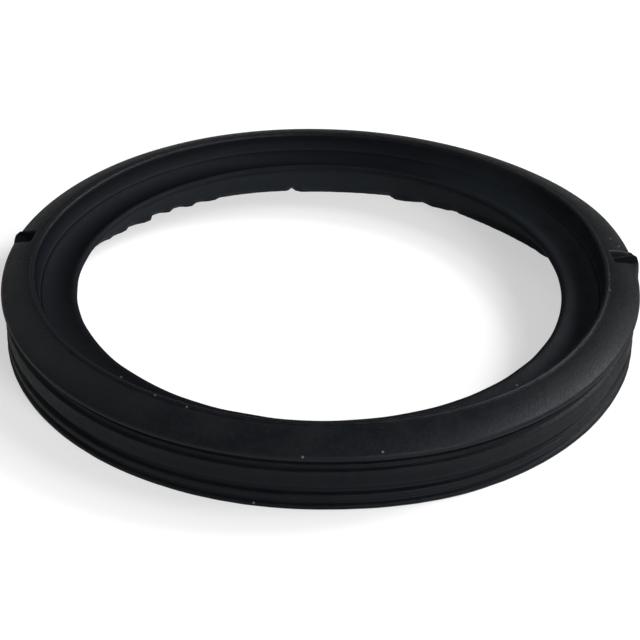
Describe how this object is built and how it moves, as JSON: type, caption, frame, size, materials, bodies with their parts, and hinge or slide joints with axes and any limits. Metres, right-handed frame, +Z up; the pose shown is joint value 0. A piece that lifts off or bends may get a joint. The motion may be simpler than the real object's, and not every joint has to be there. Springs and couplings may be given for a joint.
{
  "type": "pipe sealing ring",
  "caption": "Moulded black rubber lip seal for a soil pipe joint: ribbed outer wall, bulky bevelled crown with a beaded rim, and a thin dished sealing lip inside.",
  "frame": {"origin": "on the ring's axis, in the plane of the flat base it lies on", "axes": "+Z up along the ring's axis, from the base to the crown; +X to the right and +Y away from the viewer in the picture"},
  "size_m": [0.1363, 0.135, 0.0157],
  "materials": {
    "rubber": "satin black moulded rubber, finely mottled"
  },
  "bodies": {
    "root": {"sealing_ring": "rubber"}
  },
  "joints": []
}
